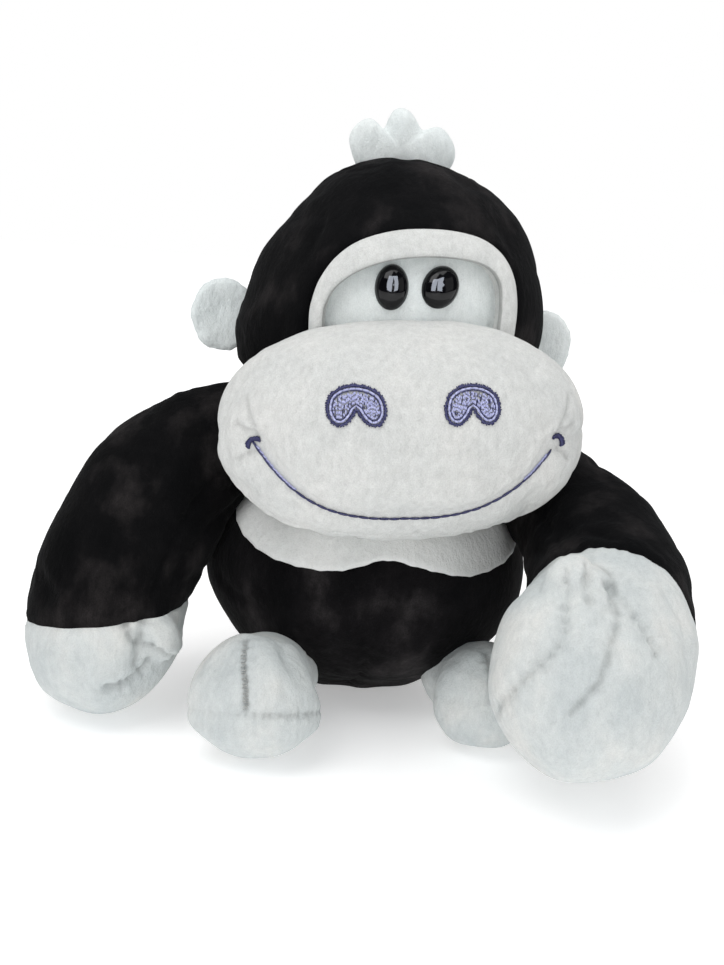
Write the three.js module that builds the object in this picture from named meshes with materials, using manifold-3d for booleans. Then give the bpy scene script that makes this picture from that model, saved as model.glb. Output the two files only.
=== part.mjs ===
// Sitting plush gorilla: black short-pile body and hood, pale face, hands, feet, ears and tuft.
// Millimetres. +Z up, the toy faces -Y, its own left side is +X. The origin is the middle of the
// flat face that it sits on; the dimensions below are measured from a point 26 mm in front of it.
import * as THREE from 'three';
import { mergeVertices } from 'three/addons/utils/BufferGeometryUtils.js';
import Module from 'manifold-3d';

const wasm = await Module();
wasm.setup();

// ---------------------------------------------------------------- driving dimensions
const GAP = 0.3;              // clearance between pieces that touch
const CLOTH = 2.4;            // plush cloth with its backing and pile
const TURNING_GAP = 1.5;      // clearance between a limb's round root and its socket

const BELLY = { centre: [0, 14, 62.5], radii: [72.4, 60.6, 53.7] };
const RUMP = { centre: [0, 26, 50], radii: [60, 44, 53] };
const CHEST = { centre: [0, 12, 100], radii: [48, 48, 40] };

const NECK = { centre: [0, 12, 138], radius: 27, turn: 11 };    // the muzzle clears this turn, degrees each way
const HEAD = { centre: [0, 4.5, 174.8], radii: [65.7, 59, 66.3], low: 38 };
const MUZZLE = { centre: [0, -49.5, 135.5], radii: [71.2, 44, 43.3] };
const FACE_ROLL = THREE.MathUtils.degToRad(-4);    // the stuffed face sits slightly crooked
const MUZZLE_CLEAR_OF_CHEST = 2;

const BROW = { x: 1.5, z: 174, width: 82, height: 37.5, band: 8.5, foot: 8 };
const BROW_PROUD = 3.2;
const BROW_DEEP = 4.5;
const PANEL_DEEP = 4.9;
const PANEL_THICK = 2.2;

const EYE = { x: 9.3, z: 189.5, width: 12.8, height: 16.8, dome: 4.6, tilts: [2, 20] };
const EYE_LIFT = 0.5;         // the eye's flat back stands this far off the panel
const SHANK = { radius: 1.8, length: 10 };
const WASHER = { radius: 5.5, thickness: 1.2, behind: 4.4 };

const NOSTRIL = { x: 20.4, mid: -2, z: 151.2, width: 20, height: 14, notch: 5.5 };
const THREAD_PROUD = 1.2;
const MOUTH = { halfWidth: 56, mid: -1.7, cornerZ: 136, bottomZ: 108.6, thread: 0.8, tick: 5, curl: 2.4 };

const EAR = { x: 70.5, y: 12, z: [170.5, 166.5], radii: [13.5, 4.8, 15.8], rootGap: 2.2 };    // z: right, left
const TUFT = { y: 16, z: 241, thickness: 7, lobes: [[-14.5, 6.5, 8], [0, 12, 8.8], [15, 5.5, 9]], rootGap: 1.8 };

const CHEST_PATCH = { side: 62, sideZ: 90, lobeX: 33, lobeZ: 73.5, notchZ: 81, top: 114, backY: 6, proud: 1.4 };

const SHOULDER_ROOT = 24;     // radius of an arm's ball end
const HIP_ROOT = 17;
const SHOULDER_CLEAR = 1.2;   // room between a shoulder and the turned muzzle
const LIMB_CLEAR = 4.8;       // room between a swinging limb and the torso
const UNDER_CLEAR = 2;        // room between a foot and the hand that presses on it

// Each limb is a round-ended tube along a curve from its pivot. widths and depths are the two
// half-sizes of its section at the curve's own points, and the cuff is where the cloth changes.
// swings lists the angles from rest, in degrees, that the limb's root is relieved for, and a leg
// is pressed in by the arm that it is under.
const ARMS = {
  right: {
    points: [[-48, 10, 118], [-67, 8, 114.5], [-89.5, 2, 95.5], [-103.5, -4, 73.5], [-111.5, -9, 51], [-114, -12, 33],
      [-112.5, -13, 2]],
    flatAlong: [0, 1, 0],
    widths: [20, 24.5, 30.5, 33.5, 34, 33.5, 33.5],
    depths: [20, 25, 31, 35, 38, 39.5, 39.5],
    cuff: { point: [-113, -9, 45], normal: [0.08, 0.12, 1] },
    thumb: { centre: [-86.5, -34, 41], radii: [8.5, 9.5, 13.5], tilt: -12 },
    swings: [-25, -12, 0],
    beside: [BELLY, CHEST],
  },
  left: {
    points: [[48, 10, 118], [68, 3, 108.5], [84.5, -24, 93], [87.5, -56, 77], [74.5, -88, 60], [50, -116, 38]],
    flatAlong: [0, 0, 1],
    widths: [20, 25, 30.5, 34, 37.5, 35.5],
    depths: [20, 25, 31, 36, 41.5, 42],
    cuff: { point: [82, -72, 66], normal: [0.42, 0.86, 0.3] },
    thumb: { centre: [59, -98, 92], radii: [12, 10.5, 12], tilt: 25 },
    swings: [0],
    beside: [BELLY, CHEST],
  },
};
const LEGS = {
  right: {
    points: [[-39, -28, 24], [-44, -40, 26], [-49, -52, 26], [-53, -81, 25.5]],
    flatAlong: [0, 0, 1],
    widths: [15.5, 21, 26, 25.5],
    depths: [15.5, 21, 26, 25.5],
    swings: [8],
    beside: [BELLY],
  },
  left: {
    points: [[39, -22, 24], [43, -29, 24.5], [47.5, -38, 24.5], [49, -62, 24]],
    flatAlong: [0, 0, 1],
    widths: [15.5, 20, 24, 24],
    depths: [15.5, 20, 24.5, 24],
    swings: [5],
    beside: [BELLY],
    under: ARMS.left,
  },
};
const SOLE = { drop: 24, run: 50, frontZ: 27 };    // slope of the seam round each sole

const BIG = { around: 18, up: 10 };
const MIDDLE = { around: 14, up: 9 };
const SMALL = { around: 12, up: 8 };
const LIMB = { around: 12, rings: 9 };
const FAR = 300;

// ---------------------------------------------------------------- materials
const plush = (colour, roughness = 0.95) => new THREE.MeshStandardMaterial({ color: colour, roughness, metalness: 0 });
const BLACK_PLUSH = plush(0x121113);
const PALE_PLUSH = plush(0xdde2e1);
const FILLING = plush(0xf2f0ea, 1);
const THREAD = plush(0x8d90b8, 0.6);
const GLOSSY = plush(0x050506, 0.08);
const PLASTIC = plush(0xe6e6e2, 0.5);

// ---------------------------------------------------------------- solids
function solid(geometry) {
  geometry.deleteAttribute('normal');
  geometry.deleteAttribute('uv');
  const merged = mergeVertices(geometry, 1e-4);
  const mesh = new wasm.Mesh({
    numProp: 3,
    vertProperties: new Float32Array(merged.attributes.position.array),
    triVerts: new Uint32Array(merged.index.array),
  });
  return new wasm.Manifold(mesh);
}

function join(solids) {
  return solids.reduce((sum, next) => sum.add(next));
}

function cut(body, tools) {
  return tools.reduce((rest, tool) => rest.subtract(tool), body);
}

// An ellipsoid grown by `grow` all round; `low` is a separate half-height below the centre.
function ellipsoid({ centre, radii, low }, grow = 0, detail = BIG) {
  const geometry = new THREE.SphereGeometry(1, detail.around, detail.up);
  geometry.rotateX(Math.PI / 2);
  const position = geometry.attributes.position;
  for (let i = 0; i < position.count; i += 1) {
    const z = position.getZ(i);
    const height = z < 0 && low ? low : radii[2];
    position.setXYZ(i, position.getX(i) * (radii[0] + grow), position.getY(i) * (radii[1] + grow), z * (height + grow));
  }
  geometry.translate(...centre);
  return solid(geometry);
}

function ball(centre, radius, detail = SMALL) {
  return ellipsoid({ centre, radii: [radius, radius, radius] }, 0, detail);
}

function shellLayer(shape, inner, outer) {
  return ellipsoid(shape, outer).subtract(ellipsoid(shape, inner));
}

// Everything on the side of a plane that its normal points to.
function halfSpace(point, normal) {
  const geometry = new THREE.BoxGeometry(FAR, FAR, FAR);
  geometry.translate(0, 0, FAR / 2);
  const direction = new THREE.Vector3(...normal).normalize();
  geometry.applyQuaternion(new THREE.Quaternion().setFromUnitVectors(new THREE.Vector3(0, 0, 1), direction));
  geometry.translate(...point);
  return solid(geometry);
}

// A 2D outline in the X-Z plane, extruded from y = front back to y = back.
function prism(shape, front, back, curveSegments = 10) {
  const geometry = new THREE.ExtrudeGeometry(shape, { depth: back - front, bevelEnabled: false, curveSegments });
  geometry.rotateX(Math.PI / 2);
  geometry.translate(0, back, 0);
  return solid(geometry);
}

// The shape's y on the front of an ellipsoid, so that a piece can lie on it.
function frontY({ centre, radii }, x, z, grow = 0) {
  const across = (x - centre[0]) / (radii[0] + grow);
  const up = (z - centre[2]) / (radii[2] + grow);
  return centre[1] - (radii[1] + grow) * Math.sqrt(Math.max(0, 1 - across * across - up * up));
}

function turned(body, centre, axis, angle) {
  const matrix = new THREE.Matrix4().makeTranslation(...centre)
    .multiply(new THREE.Matrix4().makeRotationAxis(axis, angle))
    .multiply(new THREE.Matrix4().makeTranslation(...centre.map((value) => -value)));
  return body.transform(matrix.elements);
}

const X_AXIS = new THREE.Vector3(1, 0, 0);
const Y_AXIS = new THREE.Vector3(0, 1, 0);
const Z_AXIS = new THREE.Vector3(0, 0, 1);

// The room a fixed body takes as seen from a limb that has swung about an X axis by some angles.
function sweptRoom(fixed, pivot, degrees) {
  return join(degrees.map((angle) => turned(fixed, pivot, X_AXIS, THREE.MathUtils.degToRad(angle))));
}

// ---------------------------------------------------------------- limbs
function sample(values, t) {
  const place = t * (values.length - 1);
  const index = Math.min(values.length - 2, Math.floor(place));
  return THREE.MathUtils.lerp(values[index], values[index + 1], place - index);
}

// A round-ended tube along a limb's curve, thinner all over by `inset`. Its depth lies as near as
// it can to the limb's own flatAlong direction.
function limbTube(limb, inset) {
  const curve = new THREE.CatmullRomCurve3(limb.points.map((point) => new THREE.Vector3(...point)));
  const length = curve.getLength();
  const tip = limb.depths[limb.depths.length - 1];
  const geometry = new THREE.CylinderGeometry(1, 1, 1, LIMB.around, LIMB.rings);
  const position = geometry.attributes.position;
  for (let i = 0; i < position.count; i += 1) {
    const ring = Math.round((0.5 - position.getY(i)) * LIMB.rings);
    const along = Math.sin((ring / LIMB.rings) * Math.PI / 2);
    const fromTip = (1 - along) * length;
    const rounding = fromTip < tip ? Math.sqrt(1 - (1 - fromTip / tip) ** 2) : 1;
    const fade = Math.max(0.06, rounding);
    const place = Math.min(1, along * (1 - inset / length));
    const tangent = curve.getTangentAt(place);
    const deep = new THREE.Vector3(...limb.flatAlong);
    deep.addScaledVector(tangent, -deep.dot(tangent)).normalize();
    const wide = new THREE.Vector3().crossVectors(deep, tangent);
    const middle = curve.getPointAt(place);
    middle.addScaledVector(wide, position.getX(i) * (sample(limb.widths, along) - inset) * fade);
    middle.addScaledVector(deep, position.getZ(i) * (sample(limb.depths, along) - inset) * fade);
    position.setXYZ(i, middle.x, middle.y, middle.z);
  }
  return solid(geometry);
}

// ---------------------------------------------------------------- outlines in the X-Z plane
function browArch(grow, foot = BROW.foot) {
  const shape = new THREE.Shape();
  const halfWidth = BROW.width / 2 + grow;
  shape.moveTo(BROW.x - halfWidth, BROW.z - foot);
  shape.lineTo(BROW.x + halfWidth, BROW.z - foot);
  shape.lineTo(BROW.x + halfWidth, BROW.z);
  shape.absellipse(BROW.x, BROW.z, halfWidth, BROW.height + grow, 0, Math.PI, false);
  shape.closePath();
  return shape;
}

function nostrilOutline(x) {
  const { z, width, height, notch } = NOSTRIL;
  const low = z - height / 2;
  const shape = new THREE.Shape();
  shape.moveTo(x, low + notch);
  shape.quadraticCurveTo(x + width * 0.12, low, x + width * 0.28, low);
  shape.bezierCurveTo(x + width * 0.5, low, x + width * 0.56, z + height * 0.1, x + width * 0.4, z + height * 0.32);
  shape.quadraticCurveTo(x, z + height * 0.68, x - width * 0.4, z + height * 0.32);
  shape.bezierCurveTo(x - width * 0.56, z + height * 0.1, x - width * 0.5, low, x - width * 0.28, low);
  shape.quadraticCurveTo(x - width * 0.12, low, x, low + notch);
  return shape;
}

// The pale chest's lower edge hangs in two lobes with a notch between them.
function chestOutline() {
  const { side, sideZ, lobeX, lobeZ, notchZ, top } = CHEST_PATCH;
  const shape = new THREE.Shape();
  shape.moveTo(0, notchZ);
  shape.bezierCurveTo(lobeX * 0.35, notchZ, lobeX * 0.6, lobeZ, lobeX, lobeZ);
  shape.bezierCurveTo(lobeX * 1.6, lobeZ, side, sideZ - 10, side, sideZ);
  shape.lineTo(side, top);
  shape.lineTo(-side, top);
  shape.lineTo(-side, sideZ);
  shape.bezierCurveTo(-side, sideZ - 10, -lobeX * 1.6, lobeZ, -lobeX, lobeZ);
  shape.bezierCurveTo(-lobeX * 0.6, lobeZ, -lobeX * 0.35, notchZ, 0, notchZ);
  return shape;
}

// ---------------------------------------------------------------- torso and neck
function torsoBody(inset, detail = MIDDLE) {
  const blobs = join([BELLY, RUMP, CHEST].map((shape) => ellipsoid(shape, -inset, detail)));
  return blobs.intersect(halfSpace([0, 0, inset], [0, 0, 1]));
}

function sockets(grow) {
  const shoulders = Object.values(ARMS).map((arm) => ball(arm.points[0], SHOULDER_ROOT + grow));
  const hips = Object.values(LEGS).map((leg) => ball(leg.points[0], HIP_ROOT + grow));
  return [...shoulders, ...hips];
}

const neckRoom = ball(NECK.centre, NECK.radius + TURNING_GAP);
const torsoInside = cut(torsoBody(CLOTH), sockets(TURNING_GAP + CLOTH));
const torsoShell = cut(torsoBody(0), [...sockets(TURNING_GAP), torsoInside, neckRoom]);
const torsoStuffing = cut(torsoBody(CLOTH + GAP), [...sockets(TURNING_GAP + CLOTH + GAP), neckRoom]);
const chestPatch = cut(torsoBody(-GAP - CHEST_PATCH.proud), [torsoBody(-GAP), ...sockets(TURNING_GAP), neckRoom])
  .intersect(prism(chestOutline(), -FAR / 2, CHEST_PATCH.backY));
const neckStuffing = ball(NECK.centre, NECK.radius);

// ---------------------------------------------------------------- head
function rolled(body, x, z) {
  return turned(body, [x, 0, z], Y_AXIS, FACE_ROLL);
}

function rolledArch(grow, foot) {
  return rolled(prism(browArch(grow, foot), -FAR / 2, HEAD.centre[1] - 15), BROW.x, EYE.z);
}

const browOpening = rolledArch(GAP, BROW.foot);
const browMiddle = rolledArch(-BROW.band, BROW.foot + 20);
const panelRoom = browOpening.subtract(ellipsoid(HEAD, -PANEL_DEEP - PANEL_THICK - GAP));
const headInside = ellipsoid(HEAD, -CLOTH);
const headShell = cut(ellipsoid(HEAD), [headInside, neckRoom, browOpening]);

const muzzleWhole = rolled(ellipsoid(MUZZLE), MUZZLE.centre[0], MUZZLE.centre[2]);
const muzzleHollow = rolled(ellipsoid(MUZZLE, -CLOTH), MUZZLE.centre[0], MUZZLE.centre[2]);
const muzzleFull = rolled(ellipsoid(MUZZLE, -CLOTH - GAP), MUZZLE.centre[0], MUZZLE.centre[2]);

// The muzzle is dented where it presses on the chest and, with the head turned, on the shoulders.
function muzzleDents(grow) {
  const chest = ellipsoid(CHEST, MUZZLE_CLEAR_OF_CHEST + CHEST_PATCH.proud + grow);
  const room = SHOULDER_CLEAR + grow;
  const shoulders = Object.values(ARMS).map((arm) => turned(
    limbTube(arm, -room).add(ball(arm.points[0], SHOULDER_ROOT + room)),
    NECK.centre,
    Z_AXIS,
    THREE.MathUtils.degToRad(-Math.sign(arm.points[0][0]) * NECK.turn),
  ));
  return [chest, ...shoulders];
}

const muzzleShell = cut(muzzleWhole, [
  cut(muzzleHollow, muzzleDents(CLOTH)),
  ...muzzleDents(0),
  ellipsoid(HEAD, GAP),
  ball(NECK.centre, NECK.radius + TURNING_GAP),
]);
const muzzleStuffing = cut(muzzleFull, [
  ...muzzleDents(CLOTH + GAP),
  ellipsoid(HEAD, 2 * GAP),
  ball(NECK.centre, NECK.radius + TURNING_GAP + CLOTH),
]);

const browBand = cut(shellLayer(HEAD, -BROW_DEEP, BROW_PROUD).intersect(rolledArch(0, BROW.foot)), [
  browMiddle,
  rolled(ellipsoid(MUZZLE, GAP), MUZZLE.centre[0], MUZZLE.centre[2]),
]);

// ---------------------------------------------------------------- eyes
// Local frame of an eye: -Y looks out of the face and the origin is on the eye panel.
function eyeFrame(side) {
  const roll = new THREE.Vector3(side * EYE.x, 0, 0).applyAxisAngle(Y_AXIS, FACE_ROLL);
  const x = BROW.x + roll.x;
  const z = EYE.z + roll.z;
  const y = frontY(HEAD, x, z, -PANEL_DEEP);
  const normal = new THREE.Vector3(x / HEAD.radii[0] ** 2, (y - HEAD.centre[1]) / HEAD.radii[1] ** 2,
    (z - HEAD.centre[2]) / HEAD.radii[2] ** 2).normalize();
  const aim = new THREE.Quaternion().setFromUnitVectors(new THREE.Vector3(0, -1, 0), normal);
  const tilt = new THREE.Quaternion().setFromAxisAngle(Y_AXIS, THREE.MathUtils.degToRad(EYE.tilts[side > 0 ? 1 : 0]));
  return new THREE.Matrix4().compose(new THREE.Vector3(x, y, z), aim.multiply(tilt), new THREE.Vector3(1, 1, 1));
}

// A round post along the eye's axis, from `near` to `far` behind the panel's face.
function post(radius, near, far, around = 16) {
  const geometry = new THREE.CylinderGeometry(radius, radius, far - near, around);
  geometry.translate(0, (near + far) / 2, 0);
  return solid(geometry);
}

function eyePieces(side) {
  const place = eyeFrame(side).elements;
  const egg = ellipsoid({ centre: [0, 0, 0], radii: [EYE.width / 2, EYE.dome, EYE.height / 2] }, 0, SMALL);
  const dome = egg.intersect(halfSpace([0, -EYE_LIFT, 0], [0, -1, 0]));
  return {
    eye: dome.add(post(SHANK.radius, -EYE_LIFT - 1, SHANK.length)).transform(place),
    washer: post(WASHER.radius, WASHER.behind, WASHER.behind + WASHER.thickness)
      .subtract(post(SHANK.radius + GAP, -1, SHANK.length)).transform(place),
    hole: post(SHANK.radius + GAP, -3, SHANK.length).transform(place),
    pocket: post(WASHER.radius + GAP, -3, SHANK.length + GAP).transform(place),
  };
}

const eyes = { right: eyePieces(-1), left: eyePieces(1) };
const eyePanel = cut(shellLayer(HEAD, -PANEL_DEEP - PANEL_THICK, -PANEL_DEEP).intersect(rolledArch(0, BROW.foot)), [
  eyes.right.hole,
  eyes.left.hole,
]);
const headStuffing = cut(ellipsoid(HEAD, -CLOTH - GAP), [
  neckRoom,
  panelRoom,
  eyes.right.pocket,
  eyes.left.pocket,
]);

// ---------------------------------------------------------------- stitched features
function nostril(side) {
  const outline = nostrilOutline(NOSTRIL.mid + side * NOSTRIL.x);
  const layer = shellLayer(MUZZLE, GAP, GAP + THREAD_PROUD);
  return rolled(layer.intersect(prism(outline, -FAR / 2, MUZZLE.centre[1], 6)), MUZZLE.centre[0], MUZZLE.centre[2]);
}

function threadAlong(points) {
  const path = new THREE.CatmullRomCurve3(points);
  const section = new THREE.Shape().absarc(0, 0, MOUTH.thread, 0, Math.PI * 2, false);
  return solid(new THREE.ExtrudeGeometry(section, {
    steps: points.length * 2,
    curveSegments: 3,
    bevelEnabled: false,
    extrudePath: path,
  }));
}

function onMuzzle(x, z) {
  return new THREE.Vector3(x, frontY(MUZZLE, x, z, MOUTH.thread + 2 * GAP), z);
}

function mouthLine() {
  const count = 11;
  const smile = Array.from({ length: count }, (_, i) => {
    const across = (2 * i) / (count - 1) - 1;
    const z = MOUTH.bottomZ + (MOUTH.cornerZ - MOUTH.bottomZ) * Math.abs(across) ** MOUTH.curl;
    return onMuzzle(MOUTH.mid + across * MOUTH.halfWidth, z);
  });
  const ticks = [-1, 1].map((side) => {
    const x = MOUTH.mid + side * MOUTH.halfWidth;
    return threadAlong([-1, 0, 1].map((step) => onMuzzle(
      x + step * MOUTH.tick,
      MOUTH.cornerZ - 1 - side * step * 0.5 - Math.abs(step) * 2,
    )));
  });
  return rolled(join([threadAlong(smile), ...ticks]), MUZZLE.centre[0], MUZZLE.centre[2]);
}

// ---------------------------------------------------------------- ears and tuft
function ear(side) {
  const flap = ellipsoid({ centre: [side * EAR.x, EAR.y, EAR.z[side > 0 ? 1 : 0]], radii: EAR.radii }, 0, SMALL);
  return flap.subtract(ellipsoid(HEAD, EAR.rootGap));
}

function tuft() {
  const lobes = TUFT.lobes.map(([x, z, radius]) => {
    const geometry = new THREE.CylinderGeometry(radius, radius, TUFT.thickness, 20);
    geometry.translate(x, TUFT.y, TUFT.z + z);
    return solid(geometry);
  });
  const width = TUFT.lobes[2][0] - TUFT.lobes[0][0];
  const base = new THREE.BoxGeometry(width, TUFT.thickness, 16);
  base.translate(0, TUFT.y, TUFT.z);
  return join([...lobes, solid(base)]).subtract(ellipsoid(HEAD, TUFT.rootGap));
}

// ---------------------------------------------------------------- arms and legs
function torsoRoom(limb, grow) {
  const torso = join(limb.beside.map((shape) => ellipsoid(shape, LIMB_CLEAR + grow, SMALL)));
  return sweptRoom(torso, limb.points[0], limb.swings);
}

// A limb is its tube, relieved against the torso, on a round root that turns in its socket.
function limbSolid(limb, root, inset) {
  const above = limb.under ? [limbTube(limb.under, -UNDER_CLEAR - inset)] : [];
  return cut(limbTube(limb, inset), [torsoRoom(limb, inset), ...above]).add(ball(limb.points[0], root - inset));
}

function armPieces(arm) {
  const skin = limbSolid(arm, SHOULDER_ROOT, 0).subtract(limbSolid(arm, SHOULDER_ROOT, CLOTH));
  const towardShoulder = new THREE.Vector3(...arm.cuff.normal).normalize();
  const below = new THREE.Vector3(...arm.cuff.point).addScaledVector(towardShoulder, -GAP).toArray();
  const lean = THREE.MathUtils.degToRad(arm.thumb.tilt);
  const thumb = turned(ellipsoid(arm.thumb, 0, SMALL), arm.thumb.centre, Y_AXIS, lean);
  return {
    sleeve: skin.intersect(halfSpace(arm.cuff.point, arm.cuff.normal)),
    hand: skin.subtract(halfSpace(below, arm.cuff.normal)),
    thumb: thumb.subtract(limbTube(arm, -GAP)),
    stuffing: limbSolid(arm, SHOULDER_ROOT, CLOTH + GAP),
  };
}

function legPieces(leg) {
  const skin = limbSolid(leg, HIP_ROOT, 0).subtract(limbSolid(leg, HIP_ROOT, CLOTH));
  const toe = leg.points[leg.points.length - 1];
  const up = new THREE.Vector3(0, SOLE.drop, SOLE.run).normalize();
  const seam = new THREE.Vector3(toe[0], toe[1], SOLE.frontZ);
  const below = seam.clone().addScaledVector(up, -GAP);
  return {
    upper: skin.intersect(halfSpace(seam.toArray(), up.toArray())),
    sole: skin.subtract(halfSpace(below.toArray(), up.toArray())),
    stuffing: limbSolid(leg, HIP_ROOT, CLOTH + GAP),
  };
}

// ---------------------------------------------------------------- assembly
function piece(name, body, material) {
  const { vertProperties, triVerts, numProp } = body.getMesh();
  const geometry = new THREE.BufferGeometry();
  const position = new Float32Array((vertProperties.length / numProp) * 3);
  for (let i = 0; i < position.length / 3; i += 1) {
    position.set(vertProperties.subarray(i * numProp, i * numProp + 3), i * 3);
  }
  geometry.setAttribute('position', new THREE.BufferAttribute(position, 3));
  geometry.setIndex(new THREE.BufferAttribute(triVerts, 1));
  const mesh = new THREE.Mesh(geometry, material);
  mesh.name = name;
  return mesh;
}

const toy = new THREE.Group();
toy.position.set(-RUMP.centre[0], -RUMP.centre[1], 0);    // the origin is the middle of the seat
toy.add(
  piece('torso_shell', torsoShell, BLACK_PLUSH),
  piece('torso_stuffing', torsoStuffing, FILLING),
  piece('chest_patch', chestPatch, PALE_PLUSH),
  piece('neck_stuffing', neckStuffing, FILLING),
  piece('head_shell', headShell, BLACK_PLUSH),
  piece('head_stuffing', headStuffing, FILLING),
  piece('eye_panel', eyePanel, PALE_PLUSH),
  piece('brow_band', browBand, PALE_PLUSH),
  piece('muzzle_shell', muzzleShell, PALE_PLUSH),
  piece('muzzle_stuffing', muzzleStuffing, FILLING),
  piece('mouth_line', mouthLine(), THREAD),
  piece('hair_tuft', tuft(), PALE_PLUSH),
);

const SIDES = { right: -1, left: 1 };
for (const [name, side] of Object.entries(SIDES)) {
  const arm = armPieces(ARMS[name]);
  const leg = legPieces(LEGS[name]);
  toy.add(
    piece(`eye_${name}`, eyes[name].eye, GLOSSY),
    piece(`eye_washer_${name}`, eyes[name].washer, PLASTIC),
    piece(`nostril_${name}`, nostril(side), THREAD),
    piece(`ear_${name}`, ear(side), PALE_PLUSH),
    piece(`arm_sleeve_${name}`, arm.sleeve, BLACK_PLUSH),
    piece(`hand_${name}`, arm.hand, PALE_PLUSH),
    piece(`thumb_${name}`, arm.thumb, PALE_PLUSH),
    piece(`arm_stuffing_${name}`, arm.stuffing, FILLING),
    piece(`foot_upper_${name}`, leg.upper, PALE_PLUSH),
    piece(`foot_sole_${name}`, leg.sole, PALE_PLUSH),
    piece(`leg_stuffing_${name}`, leg.stuffing, FILLING),
  );
}

export default toy;
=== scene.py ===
"""The looks of a sitting plush gorilla, built around its CAD frame.

Shapes are drawn in millimetres in the CAD's own drawing, whose origin is 26 mm in front of the
frame's, and to_frame() turns them into metres in the frame.
"""
import math

import bmesh
import bpy
import numpy as np
from mathutils import Matrix, Vector
from mathutils.bvhtree import BVHTree


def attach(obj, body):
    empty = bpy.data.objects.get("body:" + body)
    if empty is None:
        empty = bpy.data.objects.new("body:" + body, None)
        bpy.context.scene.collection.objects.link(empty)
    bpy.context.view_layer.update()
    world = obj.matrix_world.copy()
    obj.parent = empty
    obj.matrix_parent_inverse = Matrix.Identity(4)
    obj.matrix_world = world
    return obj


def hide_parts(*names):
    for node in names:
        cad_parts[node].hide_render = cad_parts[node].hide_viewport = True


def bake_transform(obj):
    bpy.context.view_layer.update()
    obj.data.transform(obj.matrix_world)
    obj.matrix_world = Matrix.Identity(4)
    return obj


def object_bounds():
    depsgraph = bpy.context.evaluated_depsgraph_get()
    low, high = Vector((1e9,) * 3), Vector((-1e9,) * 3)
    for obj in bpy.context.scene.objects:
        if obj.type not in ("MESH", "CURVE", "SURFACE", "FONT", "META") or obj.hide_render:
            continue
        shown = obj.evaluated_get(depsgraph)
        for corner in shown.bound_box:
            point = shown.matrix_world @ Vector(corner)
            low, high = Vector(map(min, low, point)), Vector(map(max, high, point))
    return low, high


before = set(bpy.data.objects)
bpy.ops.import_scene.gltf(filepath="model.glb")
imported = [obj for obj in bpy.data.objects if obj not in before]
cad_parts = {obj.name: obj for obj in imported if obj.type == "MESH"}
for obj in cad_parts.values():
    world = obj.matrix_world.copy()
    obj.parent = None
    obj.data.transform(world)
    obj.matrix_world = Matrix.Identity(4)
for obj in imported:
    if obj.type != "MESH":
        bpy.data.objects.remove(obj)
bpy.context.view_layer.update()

# ---------------------------------------------------------------- dimensions, in mm
ORIGIN_Y = 26.0
BELLY = {"centre": (0, 14, 62.5), "radii": (72.4, 60.6, 53.7)}
RUMP = {"centre": (0, 26, 50), "radii": (60, 44, 53)}
CHEST = {"centre": (0, 12, 100), "radii": (48, 48, 40)}
NECK = (0, 12, 138)
HEAD = {"centre": (0, 4.5, 174.8), "radii": (65.7, 59, 66.3), "low": 38}
MUZZLE = {"centre": (0, -49.5, 135.5), "radii": (71.2, 44, 43.3)}
FACE_ROLL = math.radians(-4)
CHEST_CLEAR = 3.4
MUZZLE_SQUARE = 2.35    # the muzzle seen from the front: 2 is an ellipse
CLOTH_SLACK = 1.5       # a piece starts this much smaller than it swells to
# The hood's width as a share of the egg it starts from, by height, on the toy's right and left.
HOOD_HEIGHTS = (140, 150, 160, 166, 173, 180, 190, 200, 212, 222, 231, 239)
HOOD_SHARES = ((1.42, 1.27, 1.09, 1.045, 1.0, 0.955, 0.94, 0.925, 0.875, 0.86, 0.89, 0.98),
               (1.35, 1.2, 1.05, 1.0, 1.0, 1.0, 1.0, 1.0, 1.01, 1.04, 1.07, 1.02))
# The brow band's two edges as seen from the front.
BROW_OUTER = (
    (-37, 156), (-38.2, 175), (-37.4, 183), (-34.8, 190.8), (-29.2, 199), (-20.8, 205.4), (-8.2, 209.8),
    (4.9, 211.4), (16.9, 211.2), (27.4, 209), (35.4, 204), (40.4, 196.6), (42.4, 188.6), (42.7, 178),
    (41, 156))
BROW_INNER = (
    (-32, 156), (-33.4, 175), (-32.4, 182.5), (-28.6, 189), (-20.9, 195), (-10.1, 199.4), (2.9, 201.7),
    (14.7, 202), (23.9, 201), (30.2, 198.6), (34, 194), (35.2, 187.5), (35.2, 178), (33.5, 156))
PANEL_DEEP = 5.4
EYE = {"mid": 1.0, "x": 9.3, "z": 189.8, "halves": ((6.4, 8.7), (7.1, 8.6)), "dome": 4.8, "tilts": (1, 30)}
NOSTRIL = {"x": 20.4, "mid": -2, "z": 151.2, "width": 20.6, "height": 13.6, "notch": 5.4}
MOUTH = {"half": 56, "mid": -1.7, "corner": 136, "bottom": 108.3, "curls": (3.1, 2.6)}
EAR = {"x": 70.5, "y": 12, "z": (170.5, 166.5), "radii": (13.5, 4.8, 15.8)}
TUFT = {"y": 16, "z": 241, "thick": 4.4}
# The tuft's outline as seen from the front, from its root on one side round the three lobes.
TUFT_EDGE = (
    (-16, 233), (-20.5, 241), (-22, 247.5), (-19.2, 253), (-14, 255.4), (-9.8, 253.8), (-7.6, 252.2),
    (-6.2, 256), (-3.6, 259.8), (0, 261), (3.8, 259.6), (6.8, 256.4),
    (9, 253.2), (12.5, 254.4), (16.5, 254.8), (21, 251.6), (23.8, 246.5), (23.4, 240), (19, 233))
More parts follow.
